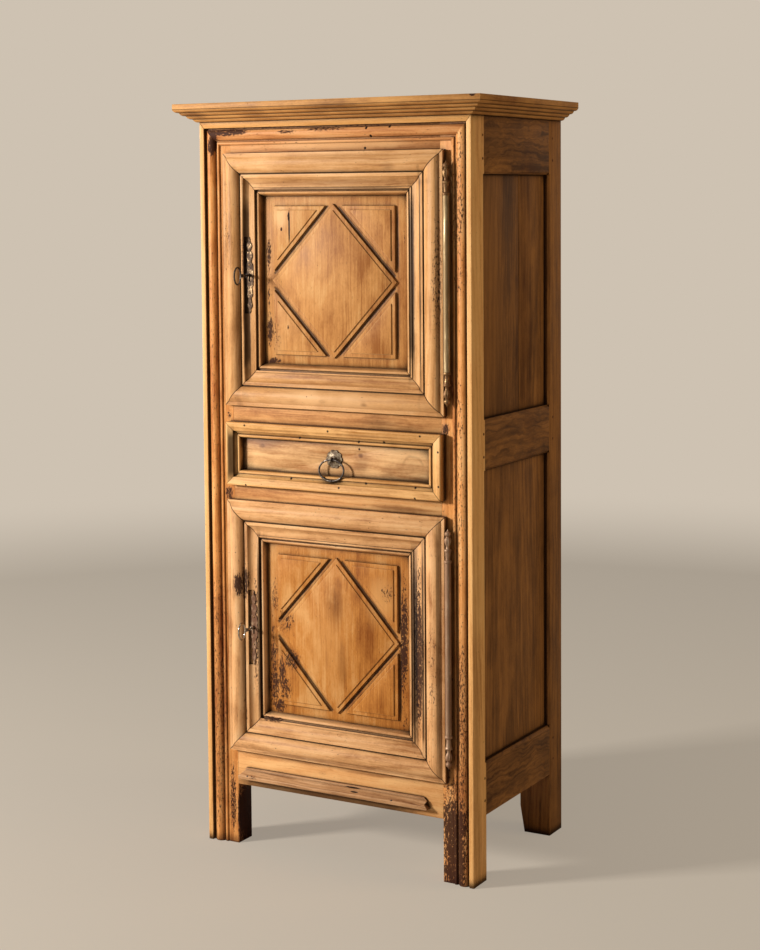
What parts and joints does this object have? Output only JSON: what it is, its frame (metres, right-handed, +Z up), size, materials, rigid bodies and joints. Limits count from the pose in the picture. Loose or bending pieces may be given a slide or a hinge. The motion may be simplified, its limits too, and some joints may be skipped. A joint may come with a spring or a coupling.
{
  "type": "bonnetiere cabinet",
  "caption": "Tall narrow country cupboard with moulded, lozenge-panelled doors above and below a drawer, stepped cornice, long pin hinges, pierced escutcheons and keys.",
  "frame": {"origin": "on the floor under the centre of the whole object's box, keys and cornice included", "axes": "+Z up, +X to the viewer's right, the doors face -Y"},
  "size_m": [0.88, 0.591, 1.923],
  "materials": {
    "case_wood": "waxed, worn",
    "moulding_wood": "waxed, worn",
    "panel_wood": "waxed, worn",
    "inner_wood": "dry, unfinished",
    "aged_brass": "aged, dull",
    "hinge_iron": "aged, dull",
    "dark_iron": "dark, worn"
  },
  "bodies": {
    "carcass": {"back_left_post": "case_wood", "back_planks": "inner_wood", "back_rails": "inner_wood", "back_right_post": "case_wood", "base_moulding": "moulding_wood", "board_cleats": "inner_wood", "corner_strips": "moulding_wood", "cornice_front": "moulding_wood", "cornice_sides": "moulding_wood", "drawer_guides": "inner_wood", "drawer_runners": "inner_wood", "floor_board": "inner_wood", "frieze_strip": "moulding_wood", "front_bottom_rail": "case_wood", "front_drawer_bottom_rail": "case_wood", "front_drawer_top_rail": "case_wood", "front_left_post": "case_wood", "front_right_post": "case_wood", "front_top_rail": "case_wood", "left_side_panels": "case_wood", "left_side_rails": "case_wood", "lower_hinge_post_knuckle": "hinge_iron", "lower_shelf": "inner_wood", "right_side_panels": "case_wood", "right_side_rails": "case_wood", "top_boards": "inner_wood", "upper_deck": "inner_wood", "upper_hinge_post_knuckle": "aged_brass", "upper_shelf": "inner_wood"},
    "upper_door": {"upper_door_stiles": "case_wood", "upper_door_rails": "case_wood", "upper_door_panel": "panel_wood", "upper_door_moulding": "moulding_wood", "upper_escutcheon": "aged_brass", "upper_lock_case": "dark_iron", "upper_hinge_door_knuckles": "aged_brass", "upper_hinge_pin": "aged_brass", "upper_hinge_lower_finial": "aged_brass"},
    "lower_door": {"lower_door_stiles": "case_wood", "lower_door_rails": "case_wood", "lower_door_panel": "panel_wood", "lower_door_moulding": "moulding_wood", "lower_escutcheon": "aged_brass", "lower_lock_case": "dark_iron", "lower_hinge_door_knuckles": "hinge_iron", "lower_hinge_pin": "hinge_iron", "lower_hinge_lower_finial": "hinge_iron"},
    "upper_key": {"upper_key": "dark_iron"},
    "lower_key": {"lower_key": "dark_iron"},
    "upper_bolt": {"upper_lock_bolt": "dark_iron"},
    "lower_bolt": {"lower_lock_bolt": "dark_iron"},
    "drawer": {"drawer_front": "moulding_wood", "drawer_sides": "inner_wood", "drawer_back": "inner_wood", "drawer_bottom_board": "inner_wood", "drawer_moulding_frame": "moulding_wood", "drawer_rosette": "aged_brass", "drawer_staple": "dark_iron"},
    "ring": {"drawer_ring": "dark_iron"}
  },
  "joints": [
    {"name": "upper_door_hinge", "type": "hinge", "parent": "carcass", "child": "upper_door", "pos_m": [0.326, -0.2285, 1.474], "axis": [0, 0, 1], "range_deg": [0, 110]},
    {"name": "lower_door_hinge", "type": "hinge", "parent": "carcass", "child": "lower_door", "pos_m": [0.326, -0.2285, 0.585], "axis": [0, 0, 1], "range_deg": [0, 110]},
    {"name": "drawer_slide", "type": "slide", "parent": "carcass", "child": "drawer", "axis": [0, -1, 0], "range_m": [0, 0.3]},
    {"name": "drawer_ring_pivot", "type": "hinge", "parent": "drawer", "child": "ring", "pos_m": [0, -0.227, 1.03], "axis": [-1, 0, 0], "range_deg": [0, 85]},
    {"name": "upper_key_turn", "type": "hinge", "parent": "upper_door", "child": "upper_key", "pos_m": [-0.241, -0.2, 1.487], "axis": [0, -1, 0], "range_deg": [0, 180]},
    {"name": "lower_key_turn", "type": "hinge", "parent": "lower_door", "child": "lower_key", "pos_m": [-0.241, -0.2, 0.58], "axis": [0, -1, 0], "range_deg": [0, 180]},
    {"name": "upper_bolt_throw", "type": "slide", "parent": "upper_door", "child": "upper_bolt", "axis": [-1, 0, 0], "range_m": [0, 0.014]},
    {"name": "lower_bolt_throw", "type": "slide", "parent": "lower_door", "child": "lower_bolt", "axis": [-1, 0, 0], "range_m": [0, 0.014]}
  ],
  "couplings": [
    {"joint": "upper_bolt_throw", "follows": "upper_key_turn", "m_per_rad": 0.0044563},
    {"joint": "lower_bolt_throw", "follows": "lower_key_turn", "m_per_rad": 0.0044563}
  ]
}
